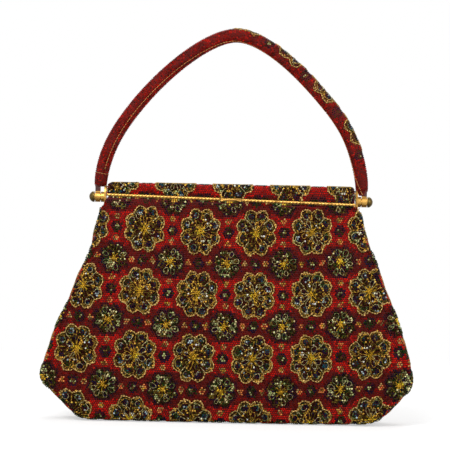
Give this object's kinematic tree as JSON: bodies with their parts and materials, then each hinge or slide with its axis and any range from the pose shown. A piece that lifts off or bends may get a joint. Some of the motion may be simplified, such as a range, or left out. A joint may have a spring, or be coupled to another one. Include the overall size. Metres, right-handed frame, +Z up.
{
  "type": "beaded handbag",
  "caption": "Beaded evening handbag with a flared body, a lift-up lid with a roped brass rail, domed knobs and a padded arch handle.",
  "frame": {"origin": "centre of the flat base, on the floor", "axes": "+X to the bag's right as seen from the front, +Y from the front to the back, +Z up to the handle"},
  "size_m": [0.2898, 0.0532, 0.3095],
  "materials": {
    "beaded_cloth": "red seed beads sewn on a stiff cloth",
    "medallion_beads": "dark blue and green glass beads with gold cord",
    "flower_beads": "dark green glass beads",
    "lining_cloth": "satin",
    "board": "bare pressed board",
    "inner_brass": "satin",
    "gilt_brass": "polished and worn",
    "aged_brass": "aged",
    "strap_cloth": "dark red cloth",
    "tab_leather": "dark red leather"
  },
  "bodies": {
    "bag": {"front_panel": "beaded_cloth", "back_panel": "beaded_cloth", "gusset": "beaded_cloth", "front_medallions": "medallion_beads", "front_flowers": "flower_beads", "back_medallions": "medallion_beads", "back_flowers": "flower_beads", "side_medallions": "medallion_beads", "base_board": "board", "lining": "lining_cloth", "slip_pocket": "lining_cloth", "mouth_rim": "inner_brass", "left_end_plate": "gilt_brass", "right_end_plate": "gilt_brass", "left_post": "gilt_brass", "right_post": "gilt_brass", "left_knob": "aged_brass", "right_knob": "aged_brass", "rim_hinge_leaf": "inner_brass", "hinge_rod": "inner_brass"},
    "lid": {"lid_tray": "inner_brass", "lid_cover": "beaded_cloth", "lid_lining": "lining_cloth", "lid_medallions": "medallion_beads", "front_rail": "gilt_brass", "thumb_lift": "gilt_brass", "lid_hinge_leaf": "inner_brass", "catch_spring": "inner_brass"},
    "handle": {"handle_strap": "strap_cloth", "left_tab": "tab_leather", "right_tab": "tab_leather"}
  },
  "joints": [
    {"name": "lid_lift", "type": "hinge", "parent": "bag", "child": "lid", "pos_m": [0, 0.0128, 0.1741], "axis": [-1, 0, 0], "range_deg": [0, 85]},
    {"name": "handle_swing", "type": "hinge", "parent": "bag", "child": "handle", "pos_m": [0, 0, 0.175], "axis": [1, 0, 0], "range_deg": [-90, 90]}
  ]
}
